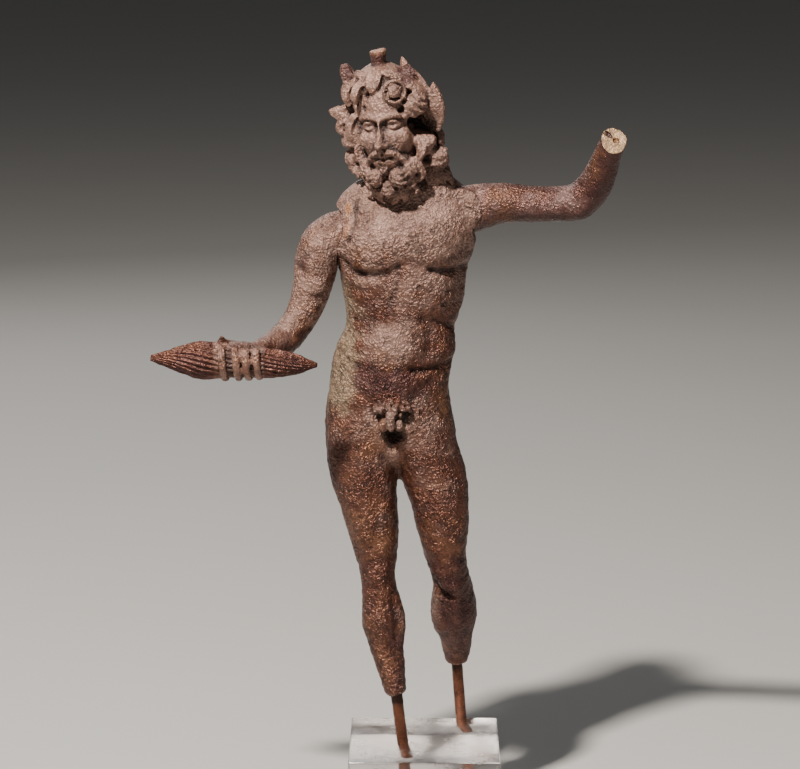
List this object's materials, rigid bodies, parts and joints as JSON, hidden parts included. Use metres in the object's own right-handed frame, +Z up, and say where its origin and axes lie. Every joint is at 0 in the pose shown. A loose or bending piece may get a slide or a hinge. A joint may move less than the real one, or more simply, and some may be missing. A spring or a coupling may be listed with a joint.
{
  "type": "bronze statuette",
  "caption": "Small bronze figure of a bearded, nude god holding a thunderbolt, one hand and both feet lost, held by thin rods on a clear square block.",
  "frame": {"origin": "centre of the block's underside", "axes": "+Z up; the figure faces -Y, and +X is at the figure's left side"},
  "size_m": [0.121, 0.0472, 0.2043],
  "materials": {
    "bronze": "aged cast bronze with a pitted brown and grey patina",
    "arm_bronze": "aged cast bronze, smoother, mauve brown",
    "rod_copper": "bare copper-coloured rod, dull",
    "clear_acrylic": "clear polished acrylic"
  },
  "bodies": {
    "root": {"figure": "bronze", "right_arm_with_thunderbolt": "arm_bronze", "left_arm": "arm_bronze", "right_leg_rod": "rod_copper", "left_leg_rod": "rod_copper", "display_block": "clear_acrylic"}
  },
  "joints": []
}
